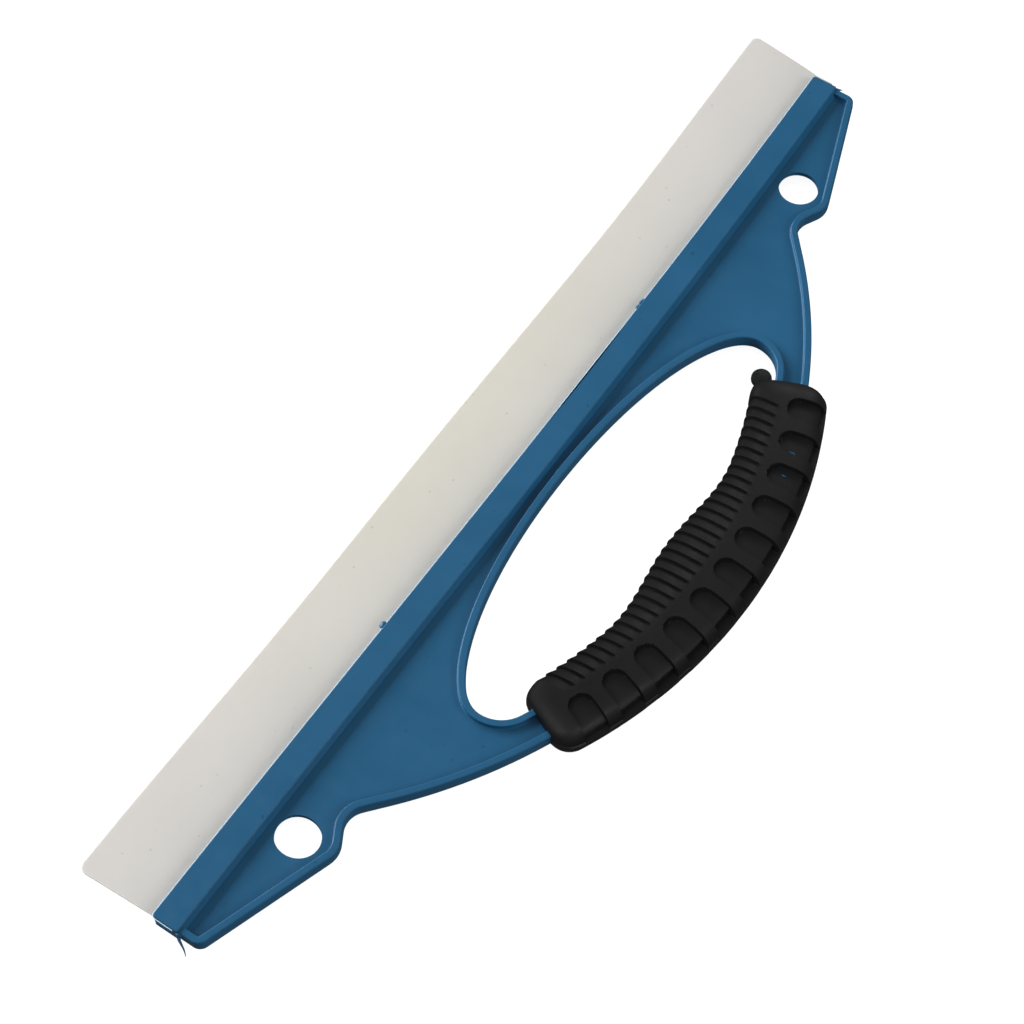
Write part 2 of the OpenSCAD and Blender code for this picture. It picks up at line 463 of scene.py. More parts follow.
def make_slit_cutter():
    """The hair-thin slit beside the mouth, widest at its middle."""
    middle = -2 * SLIT_HALF_WIDTH
    low, high = SLIT_FLOOR_Z, BAR_HALF_THICKNESS + CUT_BEYOND_FACE
    corners = ((-1, low), (1, low), (1, high), (-1, high))
    points, faces = [], []
    for i in range(SLIT_STEPS + 1):
        x = SLIT_SPAN[0] + (SLIT_SPAN[1] - SLIT_SPAN[0]) * i / SLIT_STEPS
        half = SLIT_END_HALF_WIDTH + SLIT_HALF_WIDTH * math.sin(math.pi * i / SLIT_STEPS)
        points += [(x, middle + side * half, z) for side, z in corners]
        if i:
            faces += ring_faces(4 * (i - 1), 4 * i, 4)
    faces += [(0, 1, 2, 3), tuple(range(4 * SLIT_STEPS, 4 * SLIT_STEPS + 4))]
    return new_object("slit", points, faces)


def make_lump(centre, size, seed):
    """A small rough lump of plastic: a ball pushed out of shape by noise."""
    work = bmesh.new()
    bmesh.ops.create_icosphere(work, subdivisions=LUMP_SUBDIVISIONS, radius=1)
    for vertex in work.verts:
        place = vertex.co * LUMP_NOISE_SCALE + Vector((seed, 0, 0))
        vertex.co *= 1 + LUMP_ROUGHNESS * noise.noise(place)
    points = [tuple(np.array(v.co) * size + centre) for v in work.verts]
    faces = [tuple(v.index for v in face.verts) for face in work.faces]
    work.free()
    return new_object("lump", points, faces)


def make_hair(points, radii, sides=8):
    """A thin tapered tube through points."""
    points = [Vector(p) for p in points]
    ring_points, faces = [], []
    for k, (centre, radius) in enumerate(zip(points, radii)):
        ahead = points[min(k + 1, len(points) - 1)] - points[max(k - 1, 0)]
        turn = ahead.to_track_quat("Z", "Y")
        for i in range(sides):
            a = 2 * math.pi * i / sides
            offset = turn @ Vector((radius * math.cos(a), radius * math.sin(a), 0))
            ring_points.append(tuple(centre + offset))
        if k:
            faces += ring_faces((k - 1) * sides, k * sides, sides)
    faces.append(tuple(range(sides)))
    faces.append(tuple(range(len(ring_points) - sides, len(ring_points))))
    return new_object("hair", ring_points, faces)


def bezier(p0, p1, p2, p3, steps):
    """Points along a cubic curve."""
    control = [Vector(p) for p in (p0, p1, p2, p3)]
    points = []
    for i in range(steps + 1):
        t = i / steps
        s = 1 - t
        points.append(
            control[0] * s**3
            + control[1] * 3 * s * s * t
            + control[2] * 3 * s * t * t
            + control[3] * t**3
        )
    return points


def make_flash():
    """What moulding left behind: two gate stubs, an end hair, a lump and a pointed fin."""
    pieces = [make_lump(*lump) for lump in LUMPS]
    pieces.append(make_hair(FIN_ROUTE, FIN_RADII, FIN_SIDES))
    radii = [HAIR_R - HAIR_THINNING * i for i in range(HAIR_STEPS + 1)]
    pieces.append(make_hair(bezier(*HAIR_CURVE, HAIR_STEPS), radii))
    return pieces


def make_frame(material):
    """The whole blue moulding in one piece."""
    piece = make_bar()
    piece.name = "blue_frame"
    combine(piece, make_bar_foot(), "UNION")
    combine(piece, make_plate(), "UNION")
    combine(piece, make_slot_cutter(), "DIFFERENCE")
    combine(piece, make_slit_cutter(), "DIFFERENCE")
    for extra in make_flash() + make_core_pins():
        combine(piece, extra, "UNION")
    smooth_shading(piece, FRAME_CREASE)
    piece.data.materials.append(material)
    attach(piece, "frame")
    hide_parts("frame")
    return piece


# ---------------------------------------------------------------------------
# Blade: one sheet of silicone, its root in the slot and its lip beyond the mouth
# ---------------------------------------------------------------------------

# The free edge waves in plan and ripples front to back; both fade out towards the mouth
BLADE_ROOT_DEPTH = 5.3
BLADE_ROOT_HALF = 0.62
BLADE_ROOT_RISE = 0.2
BLADE_EDGE_HALF = 0.55
BLADE_CORNER_R = 1.8
BLADE_WAVE = 0.3
BLADE_WAVE_LENGTH = 145.0
BLADE_RIPPLE = 0.22
BLADE_RIPPLE_SCALE = 0.02
BLADE_RIPPLE_SEED = 7.7
BLEND_LENGTH = 9.0

# X of each end at the mouth and at the free edge; the right one follows a power curve
BLADE_LEFT = (-151.8, -152.6)
BLADE_RIGHT = (154.2, 157.0)
BLADE_RIGHT_POWER = 0.8

# Cross sections as shares of the length: a few listed at each end, evenly spaced between
BLADE_END_SHARES = (0.0, 0.0006, 0.0016, 0.003, 0.0045)
BLADE_EVEN_SHARE = 0.006
BLADE_EVEN_COUNT = 420

# Bead: a pale tube along the mouth whose colour is a painted highlight of the mouth edge
BEAD_R = 0.14
BEAD_Z = 2.1
BEAD_OUT = 0.1
BEAD_STOP_Y = -6.2
BEAD_CORNER_STEPS = 8


def blade_section(steps=40, tip_steps=8):
    """Closed section as (y, across, beyond), the last two in half thicknesses of the blade."""
    root = -BLADE_ROOT_DEPTH
    flat = BLADE_REACH - BLADE_EDGE_HALF
    down = [root + (flat - root) * i / steps for i in range(steps + 1)]
    front = [(y, 1.0, 0.0) for y in down]
    tip = [
        (flat, math.cos(math.pi * i / tip_steps), math.sin(math.pi * i / tip_steps))
        for i in range(1, tip_steps)
    ]
    back = [(y, -1.0, 0.0) for y in reversed(down)]
    return front + tip + back


def corner_cut(near_end):
    """How much a rounded corner takes off the free edge at a distance from the blade's end."""
    if near_end >= BLADE_CORNER_R:
        return 0.0
    rest = BLADE_CORNER_R - near_end
    return BLADE_CORNER_R - math.sqrt(max(BLADE_CORNER_R**2 - rest**2, 0))


def blade_point(share, y, across, beyond):
    """Point of the blade: share runs 0 to 1 along it, the rest is a point of its section."""
    out = min(max(y / BLADE_REACH, 0), 1)
    left = BLADE_LEFT[0] + (BLADE_LEFT[1] - BLADE_LEFT[0]) * out
    right = BLADE_RIGHT[0] + (BLADE_RIGHT[1] - BLADE_RIGHT[0]) * out**BLADE_RIGHT_POWER
    x = left + (right - left) * share
    half = BLADE_ROOT_HALF + (BLADE_EDGE_HALF - BLADE_ROOT_HALF) * out
    cut = corner_cut(min(x - left, right - x))
    wave = BLADE_WAVE * math.cos(2 * math.pi * x / BLADE_WAVE_LENGTH)
    length = 1 - (cut - wave) * out / BLADE_REACH
    droop = BLADE_ROOT_RISE * (1 - out)
    ripple_place = Vector((x * BLADE_RIPPLE_SCALE, 0, BLADE_RIPPLE_SEED))
    ripple = BLADE_RIPPLE * out * noise.noise(ripple_place)
    z = droop + ripple + half * across
    return (x, y * length + beyond * half, z)


def make_blade(material):
    """The silicone strip, closed at its two ends by strips of quads."""
    section = blade_section()
    count = len(section)
    even = np.linspace(BLADE_EVEN_SHARE, 1 - BLADE_EVEN_SHARE, BLADE_EVEN_COUNT)
    shares = [*BLADE_END_SHARES, *even, *(1 - share for share in reversed(BLADE_END_SHARES))]
    points = [blade_point(s, *place) for s in shares for place in section]
    faces = []
    for k in range(len(shares) - 1):
        faces += ring_faces(k * count, (k + 1) * count, count)
    last = (len(shares) - 1) * count
    half = count // 2
    for start in (0, last):
        for i in range(half - 1):
            j = count - 1 - i
            faces.append((start + i, start + i + 1, start + j - 1, start + j))
    piece = new_object("silicone_blade", points, faces)
    smooth_shading(piece, BLADE_CREASE)
    piece.data.materials.append(material)
    mouth = to_row([(0, 0, 0), (0, BLEND_LENGTH, 0)])
    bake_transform(piece)
    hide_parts("blade_root", "blade_lip")
    return piece


def make_painted_highlight_bead(material):
    """The thin light line along the mouth and round the left end of the bar: a pale tube that
    carries a painted highlight of the mouth edge.
    """
    reach = HALF_LENGTH - BAR_MOUTH_CORNER
    line = [(x, BEAD_OUT) for x in np.linspace(reach, -reach, 4 * LONG_EDGE_STEPS)]
    corner_r = BAR_MOUTH_CORNER + BEAD_OUT
    for i in range(1, BEAD_CORNER_STEPS + 1):
        a = math.radians(90 + 90 * i / BEAD_CORNER_STEPS)
        line.append((corner_r * math.cos(a) - reach, corner_r * math.sin(a) - BAR_MOUTH_CORNER))
    line.append((-HALF_LENGTH - BEAD_OUT, BEAD_STOP_Y))
    piece = make_hair([(x, y, BEAD_Z) for x, y in line], [BEAD_R] * len(line))
    piece.name = "painted_highlight_bead"
    smooth_shading(piece, BLADE_CREASE)
    piece.data.materials.append(material)
    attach(piece, "frame")
    return piece


# ---------------------------------------------------------------------------
# Grip: moulded rubber with scoops on the inner side and pockets on both faces. Angles are
# degrees about the handle's centre, zero at the middle, and radii run from that centre.
# ---------------------------------------------------------------------------

GRIP_TURN = -0.15
GRIP_HALF_ANGLE = 24.1
GRIP_INNER_R = HANDLE_R - 15.15
GRIP_OUTER_R = HANDLE_R + 7.1
GRIP_END_TAPER = 1.8
GRIP_END_THINNING = 1.0
GRIP_SECTION_POWER = 2.9
SWELL = 4.25
SWELL_HALF_ANGLE = 13.0
END_ROUND_OUTER = (5.0, 5.0)
END_ROUND_INNER = (8.5, 4.0)
END_ROUND_INNER_AT_TAB = (5.0, 2.5)
END_ROUND_FACE = (7.0, 3.2)
GROOVES = 33
GROOVE_PITCH = 3.044
GROOVE_FIRST_X = -48.15
GROOVE_END_R = 144.0
GROOVE_END_ROUND = 2.2
GROOVE_DEPTH = 0.8
GROOVE_STEEP_SHARE = 0.06
GROOVE_SLOPE_POWER = 0.8
POCKETS = 11
POCKET_PITCH = 4.07
POCKET_HALF_WIDTH = 3.4
POCKET_TOP_R = 145.3
POCKET_FLOOR_END_R = 154.5
POCKET_DEPTH = 1.8
POCKET_WALL = 0.14
RIM_HALF_THICKNESS = 1.0
RIM_WALL = 0.2
RIM_STEP = 0.45
RIM_STEP_FADE = (3.5, 0.5)

# Cross sections run parallel to Y over the scoops, and lean back to radial at the ends
LEAN_FADE = 6.5
LEAN_ROUNDS = 4

# Where cross sections stand: shares of a scoop's pitch, degrees from a pocket's wall and
# degrees from the end face, with even steps over the smooth shoulders
GROOVE_COLUMNS = (
    0.0, 0.012, 0.03, 0.045, 0.06, 0.09, 0.13, 0.2, 0.28,
    0.37, 0.46, 0.55, 0.64, 0.73, 0.82, 0.9, 0.96,
)
WALL_COLUMNS = (-0.08, -0.028, 0.028, 0.08)
TIP_COLUMNS = (0, 0.02, 0.08, 0.18, 0.32, 0.5, 0.7)
SHOULDER_COLUMNS = 30
SHOULDER_GAP = 0.9

# Points around a cross section, with the pockets' outlines more crowded than the rest
AROUND = 260
OUTLINE_SAMPLES = 4001
POCKET_CROWDING = 2.2
POCKET_CROWDING_MARGIN = 1.0

# Core pins: angle and radius of each on the grip, and the size of its blue speck
CORE_PINS = ((12.6, 149.5, (0.25, 0.8, 0.2)), (15.4, 149.7, (0.35, 1.0, 0.25)))
PIN_RADII = (0.4, 0.3)
PIN_SIDES = 16
PIN_SUNK_ROOT = 1.0
PIN_BELOW_SPECK = 0.2
SPECK_PROUD = 0.04


def end_round(distance, length, depth):
    """How much an elliptical rounded end takes off at a distance from the end face."""
    rest = np.clip(1 - distance / length, 0, 1)
    return depth * (1 - np.sqrt(1 - rest**2))


def nearest_offset(angle, pitch, count):
    """Angle from the nearest of count marks, spaced by pitch about zero."""
    side = (count - 1) / 2
    mark = np.clip(np.round(angle / pitch + side) - side, -side, side)
    return angle - mark * pitch


def grip_sections(angle, turn):
    """Radius and height of the smooth grip at an angle and a turn around its section.

    The section's own outer radius, inner radius and half thickness follow them.
    """
    share = (angle / GRIP_HALF_ANGLE) ** 2
    distance = np.radians(GRIP_HALF_ANGLE - np.abs(angle)) * HANDLE_R
    swell = np.where(
        np.abs(angle) < SWELL_HALF_ANGLE,
        SWELL * (1 + np.cos(np.pi * angle / SWELL_HALF_ANGLE)) / 2,
        0,
    )
    outer = GRIP_OUTER_R - GRIP_END_TAPER * share - end_round(distance, *END_ROUND_OUTER)
    inner = GRIP_INNER_R - swell + np.where(
        angle < 0,
        end_round(distance, *END_ROUND_INNER),
        end_round(distance, *END_ROUND_INNER_AT_TAB),
    )
    half = GRIP_HALF_THICKNESS - GRIP_END_THINNING * share - end_round(distance, *END_ROUND_FACE)
    c, s = np.cos(turn), np.sin(turn)
    middle, reach = (outer + inner) / 2, (outer - inner) / 2
    power = 2 / GRIP_SECTION_POWER
    radius = middle + reach * np.sign(c) * np.abs(c) ** power
    height = half * np.sign(s) * np.abs(s) ** power
    return radius, height, outer, inner, half


def section_height(radius, outer, inner, half):
    """Height of the smooth section above mid thickness at a radius."""
    middle, reach = (outer + inner) / 2, (outer - inner) / 2
    share = np.clip(np.abs(radius - middle) / reach, 0, 1)
    power = GRIP_SECTION_POWER
    return half * (1 - share**power) ** (1 / power)


def groove_depth(angle, radius):
    """Depth of the inner-side scoops: parallel to Y, each steep on its +X side."""
    x = radius * np.sin(np.radians(angle + GRIP_TURN))
    place = (GROOVE_FIRST_X - x) / GROOVE_PITCH + GROOVES - 1
    inside = (place > 0) & (place < GROOVES)
    share = place % 1.0
    steep = smoothstep(0.0, GROOVE_STEEP_SHARE, share)
    slope = 1 - share**GROOVE_SLOPE_POWER
    closed = 1 - smoothstep(GROOVE_END_R - GROOVE_END_ROUND, GROOVE_END_R, radius)
    return GROOVE_DEPTH * inside * steep * slope * closed


def pocket_share(angle, radius):
    """1 inside a pocket, 0 outside it, with a narrow ramp for the wall."""
    straight_r = POCKET_TOP_R + POCKET_HALF_WIDTH
    scale = np.clip(radius, straight_r, None) / straight_r
    across = np.radians(np.abs(nearest_offset(angle, POCKET_PITCH, POCKETS))) * radius / scale
    beyond = np.clip(straight_r - radius, 0, None)
    distance = np.hypot(across, beyond)
    return 1 - smoothstep(POCKET_HALF_WIDTH - POCKET_WALL, POCKET_HALF_WIDTH, distance)


def grip_columns():
    """Angles of the grip's cross sections, close together at scoop and pocket walls."""
    marks = GROOVES - 1 - np.arange(GROOVES)[:, None] - np.array(GROOVE_COLUMNS)
    x = GROOVE_FIRST_X + marks.ravel() * GROOVE_PITCH
    scoops = np.degrees(np.arcsin(x / GROOVE_END_R)) - GRIP_TURN
    straight_r = POCKET_TOP_R + POCKET_HALF_WIDTH
    wall = math.degrees((POCKET_HALF_WIDTH - POCKET_WALL / 2) / straight_r)
    side = (POCKETS - 1) / 2
    middles = np.linspace(-side, side, POCKETS)[:, None] * POCKET_PITCH
    near_wall = np.array(WALL_COLUMNS)
    walls = np.concatenate([middles - wall + near_wall, middles + wall + near_wall]).ravel()
    tips = GRIP_HALF_ANGLE - np.array(TIP_COLUMNS)
    last = GRIP_HALF_ANGLE - SHOULDER_GAP
    right = np.linspace(scoops.max(), last, SHOULDER_COLUMNS)[1:]
    left = np.linspace(-last, scoops.min(), SHOULDER_COLUMNS)[:-1]
    return np.unique(np.round(np.concatenate([scoops, walls, tips, -tips, right, left]), 2))


def lean_parallel(angle, turn):
    """Angles that make each cross section run parallel to Y over the inner side's scoops."""
    across = GROOVE_END_R * np.sin(np.radians(angle + GRIP_TURN))
    edge = GROOVE_END_R * math.sin(math.radians(GRIP_HALF_ANGLE))
    share = 1 - smoothstep(edge - LEAN_FADE, edge, np.abs(across))
    leaned = angle
    for _ in range(LEAN_ROUNDS):
        radius = np.minimum(grip_sections(leaned, turn)[0], GROOVE_END_R)
        parallel = np.degrees(np.arcsin(np.clip(across / radius, -1, 1))) - GRIP_TURN
        leaned = angle + share * (parallel - angle)
    return leaned


def grip_points(angles, turns, step=0.01):
    """Grid of grip points in the work frame, one row per angle.

    The scoops are sunk square to the section's outline, whose slope is taken over step.
    """
    angle, turn = np.meshgrid(angles, turns, indexing="ij")
    angle = lean_parallel(angle, turn)
    radius, height, outer, inner, half = grip_sections(angle, turn)
    smooth = section_height(radius, outer, inner, half)
    floor = np.where(
        radius < POCKET_FLOOR_END_R,
        smooth - POCKET_DEPTH,
        RIM_HALF_THICKNESS,
    )
    floor = np.minimum(np.abs(height), np.maximum(floor, RIM_HALF_THICKNESS))
    share = pocket_share(angle, radius)
    height = np.sign(height) * (np.abs(height) * (1 - share) + floor * share)
    ahead = grip_sections(angle, turn + step)
    behind = grip_sections(angle, turn - step)
    along_r, along_z = ahead[0] - behind[0], ahead[1] - behind[1]
    size = np.hypot(along_r, along_z)
    depth = groove_depth(angle, radius)
    above_rim = smoothstep(RIM_HALF_THICKNESS, RIM_HALF_THICKNESS + RIM_WALL, np.abs(height))
    near_outer = smoothstep(outer - RIM_STEP_FADE[0], outer - RIM_STEP_FADE[1], radius)
    radius = radius - RIM_STEP * above_rim * near_outer
    height = height + depth * along_r / size
    a = np.radians(angle + GRIP_TURN)
    x = radius * np.sin(a)
    y = HANDLE_CENTRE_Y - radius * np.cos(a) + depth * along_z / size
    return np.stack([x, y, height], axis=-1)


def make_core_pins():
    """Pins of frame plastic that held the core in the grip's mould and just show through."""
    pins = []
    for angle, radius, size in CORE_PINS:
        outer, inner, half = grip_sections(np.array(angle), np.array(0.0))[2:]
        top = float(section_height(radius, outer, inner, half)) - POCKET_DEPTH + SPECK_PROUD
        a = math.radians(angle + GRIP_TURN)
        place = (radius * math.sin(a), HANDLE_CENTRE_Y - radius * math.cos(a))
        route = [(*place, RIB_HALF_HEIGHT - PIN_SUNK_ROOT), (*place, top - PIN_BELOW_SPECK)]
        pins.append(make_hair(route, PIN_RADII, PIN_SIDES))
        pins.append(make_lump((*place, top), size, angle))
    return pins


def section_turns(count):
    """Section angles along the outline of the middle section, closer over the pockets."""
    fine = np.linspace(0, 2 * np.pi, OUTLINE_SAMPLES)
    radius, height = grip_sections(np.zeros_like(fine), fine)[:2]
    beside_top = radius > POCKET_TOP_R - POCKET_CROWDING_MARGIN
    over_pockets = beside_top & (np.abs(height) > RIM_HALF_THICKNESS)
    weight = np.where(over_pockets[1:], POCKET_CROWDING, 1)
    steps = np.hypot(np.diff(radius), np.diff(height)) * weight
    walked = np.concatenate([[0], np.cumsum(steps)])
    wanted = np.linspace(0, walked[-1], count + 1)[:-1]
    return np.interp(wanted, walked, fine)


def make_grip(material):
    """The rubber grip: a grid around and along it, closed by two end faces."""
    angles = grip_columns()
    grid = grip_points(angles, section_turns(AROUND))
    points = grid.reshape(-1, 3)
    faces = []
    for k in range(len(angles) - 1):
        faces += ring_faces(k * AROUND, (k + 1) * AROUND, AROUND)
    faces.append(tuple(range(AROUND)))
    faces.append(tuple(range(len(points) - AROUND, len(points))))
    piece = new_object("rubber_grip", points, faces)
    smooth_shading(piece, RUBBER_CREASE)
    piece.data.materials.append(material)
    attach(piece, "frame")
    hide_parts("grip")
    return piece


TAB_CENTRE = (57.4, -38.1)
TAB_FOOT = (54.6, -43.5)
TAB_R = 2.8
TAB_HALF_THICKNESS = 1.3
TAB_SIDES = 48
NECK_R = 1.15
NECK_FLARE = 0.9
NECK_INTO_GRIP = 0.25
NECK_STEPS = 8
NECK_SIDES = 24

# Front half of the tab's section, as shares of its radius and of its half thickness
TAB_PROFILE = (
    (0.001, 1.0), (0.66, 1.0), (0.7, 0.97), (0.74, 0.8), (0.78, 0.78),
    (0.86, 0.8), (0.93, 0.72), (0.98, 0.5), (1.0, 0.2),
)


def make_tab(material):
    """Small round moulding tab with a ringed face, on a tapered neck."""
    section = [*TAB_PROFILE, *((share, -height) for share, height in reversed(TAB_PROFILE))]
    points, faces = [], []
    for share, height in section:
        radius = share * TAB_R
        for i in range(TAB_SIDES):
            a = 2 * math.pi * i / TAB_SIDES
            x = TAB_CENTRE[0] + radius * math.cos(a)
            y = TAB_CENTRE[1] + radius * math.sin(a)
            points.append((x, y, height * TAB_HALF_THICKNESS))
    for k in range(len(section) - 1):
        faces += ring_faces(k * TAB_SIDES, (k + 1) * TAB_SIDES, TAB_SIDES)
    faces.append(tuple(range(TAB_SIDES)))
    faces.append(tuple(range(len(points) - TAB_SIDES, len(points))))
    piece = new_object("grip_tab", points, faces)
    start = Vector((*TAB_CENTRE, 0))
    foot = Vector((*TAB_FOOT, 0))
    stop = foot + (foot - start) * NECK_INTO_GRIP
    shares = [i / NECK_STEPS for i in range(NECK_STEPS + 1)]
    route = [start.lerp(stop, share) for share in shares]
    radii = [NECK_R + NECK_FLARE * share**2 for share in shares]
    combine(piece, make_hair(route, radii, NECK_SIDES), "UNION")
    smooth_shading(piece, RUBBER_CREASE)
    piece.data.materials.append(material)
    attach(piece, "frame")
    return piece


# ---------------------------------------------------------------------------
# Materials: colours are linear RGB, bump depths are metres
# ---------------------------------------------------------------------------

BLUE_DEEP = (0.010, 0.088, 0.186)
BLUE_CLOUD = (0.014, 0.100, 0.208)
BLUE_FLOW = (0.016, 0.106, 0.214)
BLUE_SPECK = (0.006, 0.045, 0.1)
SILICONE_COOL = (0.594, 0.572, 0.545)
SILICONE_YELLOW = (0.6, 0.58, 0.505)
# Painted shade: the blade's colour near the mouth, where the bar shades it
SILICONE_PAINTED_SHADE = (0.485, 0.482, 0.46)
SILICONE_CLOUD = (0.625, 0.605, 0.57)
SILICONE_SPECK = (0.38, 0.36, 0.32)
SILICONE_SCATTER = (1.0, 0.9, 0.75)
YELLOW_SPAN = (0.02, 0.11)
# Painted highlight colours of the bead along the bar's mouth edge
PAINTED_HIGHLIGHT_DARK = (0.50, 0.62, 0.70)
PAINTED_HIGHLIGHT_LIGHT = (0.58, 0.68, 0.75)
RUBBER_DARK = (0.004, 0.004, 0.004)
RUBBER_LIGHT = (0.006, 0.006, 0.006)
RUBBER_DUST = (0.02, 0.02, 0.02)
BOARD_DARK = (0.93, 0.93, 0.93)
BOARD_LIGHT = (0.96, 0.96, 0.96)


class Shader:
    """A node material under construction, driven by the place on the object."""

    def __init__(self, name):
        self.material = bpy.data.materials.new(name)
        self.material.use_nodes = True
        self.tree = self.material.node_tree
        self.surface = self.tree.nodes["Principled BSDF"]
        self.place = self.tree.nodes.new("ShaderNodeTexCoord").outputs["Object"]

    def node(self, kind, values=(), **settings):
        """A new node, whose input values are numbers or other nodes' outputs."""
        made = self.tree.nodes.new(kind)
        for key, value in settings.items():
            setattr(made, key, value)
        for socket, value in dict(values).items():
            if isinstance(value, bpy.types.NodeSocket):
                self.tree.links.new(value, made.inputs[socket])
            else:
                made.inputs[socket].default_value = value
        return made

    def noise(self, scale, detail=2.0, stretch=(1, 1, 1)):
        """Noise value from 0 to 1; scale is features a metre, stretched along the axes."""
        moved_place = self.node("ShaderNodeMapping", {"Vector": self.place, "Scale": stretch})
        texture = self.node(
            "ShaderNodeTexNoise",
            {"Vector": moved_place.outputs["Vector"], "Scale": scale, "Detail": detail},
        )
        return texture.outputs["Fac"]

    def ramp(self, value, low, high, to_low=0.0, to_high=1.0):
        """Maps a value's range to another range, clamped."""
        return self.node(
            "ShaderNodeMapRange",
            {"Value": value, "From Min": low, "From Max": high, "To Min": to_low, "To Max": to_high},
        ).outputs["Result"]

    def math(self, operation, a, b):
        """Result of a maths operation on two values."""
        return self.node("ShaderNodeMath", {0: a, 1: b}, operation=operation).outputs["Value"]

    def mix(self, share, first, second):
        """Colour between first and second."""
        mixer = self.node("ShaderNodeMix", {"Factor": share}, data_type="RGBA")
        for socket, value in ((mixer.inputs[6], first), (mixer.inputs[7], second)):
            if isinstance(value, bpy.types.NodeSocket):
                self.tree.links.new(value, socket)
            else:
                socket.default_value = (*value, 1)
        return mixer.outputs[2]

    def bump(self, height, depth, before=None):
        """Bump of a height from 0 to 1 and a depth in metres, on top of an earlier one."""
        values = {"Height": height, "Distance": depth, "Strength": 1.0}
        if before is not None:
            values["Normal"] = before
        return self.node("ShaderNodeBump", values).outputs["Normal"]

    def link(self, output, socket):
        """Feeds one of the surface's sockets from a node."""
        self.tree.links.new(output, self.surface.inputs[socket])

    def set(self, socket, value):
        """Sets a value of the surface that is the same all over."""
        self.surface.inputs[socket].default_value = value


def plastic_material():
    """Blue moulded plastic: soft mottling, faint flow marks and a fine satin texture."""
    shader = Shader("blue_plastic")
    cloudy = shader.noise(45, detail=3)
    flow = shader.noise(120, detail=2, stretch=(1, 0.25, 1))
    grain = shader.noise(2600, detail=2)
    speck = shader.noise(420, detail=1)
    gloss = shader.noise(300, detail=3)
    base = shader.mix(shader.ramp(cloudy, 0.35, 0.65), BLUE_DEEP, BLUE_CLOUD)
    base = shader.mix(shader.ramp(flow, 0.4, 0.7, to_high=0.35), base, BLUE_FLOW)
    base = shader.mix(shader.ramp(speck, 0.75, 0.8, to_high=0.6), base, BLUE_SPECK)
    shader.link(base, "Base Color")
    shader.link(shader.ramp(gloss, 0.3, 0.7, 0.36, 0.46), "Roughness")
    normal = shader.bump(flow, depth=0.00004)
    normal = shader.bump(grain, depth=0.000012, before=normal)
    shader.link(normal, "Normal")
    shader.set("Specular IOR Level", 0.28)
    return shader.material


def silicone_material():
    """Milky silicone: cooler at the ends, faintly yellow in the middle, and darker at the mouth with
    painted shade from the bar.
    """
    shader = Shader("milky_silicone")
    axes = shader.node("ShaderNodeSeparateXYZ", {"Vector": shader.place})
    across = shader.math("ABSOLUTE", axes.outputs["X"], 0)
    middle = shader.ramp(across, *YELLOW_SPAN, to_low=1.0, to_high=0.0)
    free_edge = MOUTH_Y + BLADE_REACH * MM
    # Painted shade: the colour darkens towards the mouth, where the bar shades the blade
    inwards = shader.ramp(axes.outputs["Y"], MOUTH_Y, free_edge, to_low=1.0, to_high=0.0)
    shade = shader.ramp(shader.math("POWER", inwards, 2.0), 0.0, 1.0, 0.1, 0.95)
    cloudy = shader.noise(30, detail=3)
    speck = shader.noise(650, detail=0)
    gloss = shader.noise(200, detail=3)
    drag = shader.noise(90, detail=2, stretch=(0.3, 1, 1))
    grain = shader.noise(2200, detail=2)
    base = shader.mix(middle, SILICONE_COOL, SILICONE_YELLOW)
    base = shader.mix(shade, base, SILICONE_PAINTED_SHADE)
    base = shader.mix(shader.ramp(cloudy, 0.35, 0.65, to_high=0.3), base, SILICONE_CLOUD)
    base = shader.mix(shader.ramp(speck, 0.82, 0.85, to_high=0.5), base, SILICONE_SPECK)
    shader.link(base, "Base Color")
    shader.link(shader.ramp(gloss, 0.3, 0.7, 0.42, 0.55), "Roughness")
    normal = shader.bump(drag, depth=0.00006)
    normal = shader.bump(grain, depth=0.000008, before=normal)
    shader.link(normal, "Normal")
    shader.set("Subsurface Weight", 0.25)
    shader.set("Subsurface Radius", SILICONE_SCATTER)
    shader.set("Subsurface Scale", 0.0015)
    shader.set("Specular IOR Level", 0.35)
    return shader.material


def painted_highlight_material():
    """Pale bluish white, paler and cooler than the blade: a painted highlight of the bar's mouth
    edge.
    """
    shader = Shader("painted_highlight_surface")
    base = shader.mix(shader.noise(400, detail=2), PAINTED_HIGHLIGHT_DARK, PAINTED_HIGHLIGHT_LIGHT)
    gloss = shader.noise(300, detail=2)
    grain = shader.noise(900, detail=2)
    shader.link(base, "Base Color")
    shader.link(shader.ramp(gloss, 0.3, 0.7, 0.35, 0.5), "Roughness")
    shader.link(shader.bump(grain, depth=0.00002), "Normal")
    return shader.material


def rubber_material():
    """Black moulded rubber: matt, with a fine grain and slightly polished patches."""
    shader = Shader("black_rubber")
    cloudy = shader.noise(60, detail=3)
    dust = shader.noise(1500, detail=2)
    gloss = shader.noise(220, detail=3)
    dents = shader.noise(160, detail=2)
    grain = shader.noise(3200, detail=2)
    base = shader.mix(shader.ramp(cloudy, 0.35, 0.65), RUBBER_DARK, RUBBER_LIGHT)
    base = shader.mix(shader.ramp(dust, 0.68, 0.78, to_high=0.3), base, RUBBER_DUST)
    shader.link(base, "Base Color")
    shader.link(shader.ramp(gloss, 0.3, 0.7, 0.46, 0.6), "Roughness")
    normal = shader.bump(dents, depth=0.00005)
    normal = shader.bump(grain, depth=0.00002, before=normal)
    shader.link(normal, "Normal")
    shader.set("Specular IOR Level", 0.32)
    return shader.material


def floor_material():
    """Pale matt board with a faint tone variation."""
    shader = Shader("pale_board")
    base = shader.mix(shader.noise(3, detail=2), BOARD_DARK, BOARD_LIGHT)
    shader.link(base, "Base Color")
    shader.set("Roughness", 0.85)
    shader.set("Specular IOR Level", 0.2)
    return shader.material


